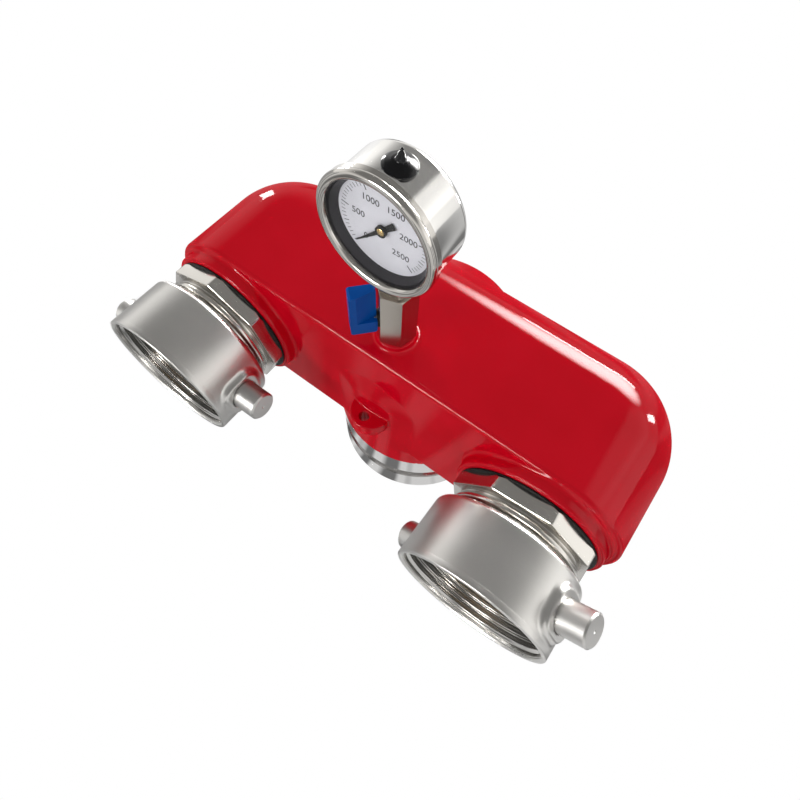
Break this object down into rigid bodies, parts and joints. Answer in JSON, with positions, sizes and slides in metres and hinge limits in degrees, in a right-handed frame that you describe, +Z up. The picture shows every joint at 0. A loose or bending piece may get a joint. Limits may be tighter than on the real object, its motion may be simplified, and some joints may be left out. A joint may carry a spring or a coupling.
{
  "type": "fire brigade inlet header",
  "caption": "Cast header with swivel hose inlets on the front, a grooved outlet below and a small pressure gauge on a lever ball valve.",
  "frame": {"origin": "centre of the outlet's end face", "axes": "+Z up the outlet's axis, away from the pipe; the inlets face -Y; the header lies along X"},
  "size_m": [0.3294, 0.1742, 0.2816],
  "materials": {
    "red_paint": "gloss",
    "stainless": "satin",
    "polished_steel": "polished",
    "brass": "machined",
    "bronze": "as cast",
    "spring_steel": "drawn wire",
    "black_rubber": "smooth",
    "seat_plastic": "machined",
    "blue_plastic": "gloss",
    "window_glass": "clear",
    "spacer_grey": "matt",
    "dial_white": "matt",
    "pointer_black": "matt"
  },
  "bodies": {
    "body": {"header_casting": "red_paint", "outlet_nipple": "stainless", "left_face_gasket": "black_rubber", "left_adaptor": "stainless", "left_retaining_wire": "spring_steel", "left_valve_guide": "bronze", "left_guide_clip": "spring_steel", "left_spring": "spring_steel", "right_face_gasket": "black_rubber", "right_adaptor": "stainless", "right_retaining_wire": "spring_steel", "right_valve_guide": "bronze", "right_guide_clip": "spring_steel", "right_spring": "spring_steel", "valve_body": "polished_steel", "valve_end_piece": "stainless", "lower_ball_seat": "seat_plastic", "upper_ball_seat": "seat_plastic", "stem_packing": "black_rubber", "gauge_socket": "brass", "gauge_case": "polished_steel", "gauge_bezel": "polished_steel", "gauge_window": "window_glass", "window_spacer": "spacer_grey", "gauge_dial": "dial_white", "fill_plug": "black_rubber", "pressure_tube": "brass", "tube_tip": "brass", "movement_plates": "brass", "movement_link": "brass"},
    "left_coupling": {"left_swivel_collar": "stainless", "left_spanner_pins": "stainless", "left_coupling_washer": "black_rubber"},
    "left_check_valve": {"left_check_disc": "bronze", "left_disc_facing": "black_rubber", "left_disc_nut": "bronze"},
    "right_coupling": {"right_swivel_collar": "stainless", "right_spanner_pins": "stainless", "right_coupling_washer": "black_rubber"},
    "right_check_valve": {"right_check_disc": "bronze", "right_disc_facing": "black_rubber", "right_disc_nut": "bronze"},
    "lever": {"valve_lever": "blue_plastic", "valve_stem": "stainless", "valve_ball": "polished_steel", "lever_screw": "stainless"},
    "pointer": {"gauge_pointer": "pointer_black", "pointer_arbor": "brass"},
    "segment": {"toothed_segment": "brass"}
  },
  "joints": [
    {"name": "left_swivel", "type": "hinge", "parent": "body", "child": "left_coupling", "pos_m": [-0.1075, -0.0785, 0.1136], "axis": [0, -1, 0], "continuous": true},
    {"name": "right_swivel", "type": "hinge", "parent": "body", "child": "right_coupling", "pos_m": [0.1075, -0.0785, 0.1136], "axis": [0, -1, 0], "continuous": true},
    {"name": "left_check", "type": "slide", "parent": "body", "child": "left_check_valve", "axis": [0, 1, 0], "range_m": [0, 0.012], "stiffness_N_per_m": 500, "springref_m": -0.02, "deforming": ["left_spring"]},
    {"name": "right_check", "type": "slide", "parent": "body", "child": "right_check_valve", "axis": [0, 1, 0], "range_m": [0, 0.012], "stiffness_N_per_m": 500, "springref_m": -0.02, "deforming": ["right_spring"]},
    {"name": "lever_turn", "type": "hinge", "parent": "body", "child": "lever", "pos_m": [0, -0.034, 0.179], "axis": [-0.6691, -0.7431, 0], "range_deg": [-90, 0]},
    {"name": "pointer_turn", "type": "hinge", "parent": "body", "child": "pointer", "pos_m": [0, -0.0384, 0.2472], "axis": [0, 1, 0], "range_deg": [0, 270], "stiffness_Nm_per_rad": 0.00002, "springref_deg": -28.65},
    {"name": "segment_turn", "type": "hinge", "parent": "body", "child": "segment", "pos_m": [-0.01278, -0.0364, 0.24124], "axis": [0, 1, 0], "range_deg": [-45, 0]}
  ],
  "couplings": [
    {"joint": "segment_turn", "follows": "pointer_turn", "ratio": -0.16667}
  ]
}
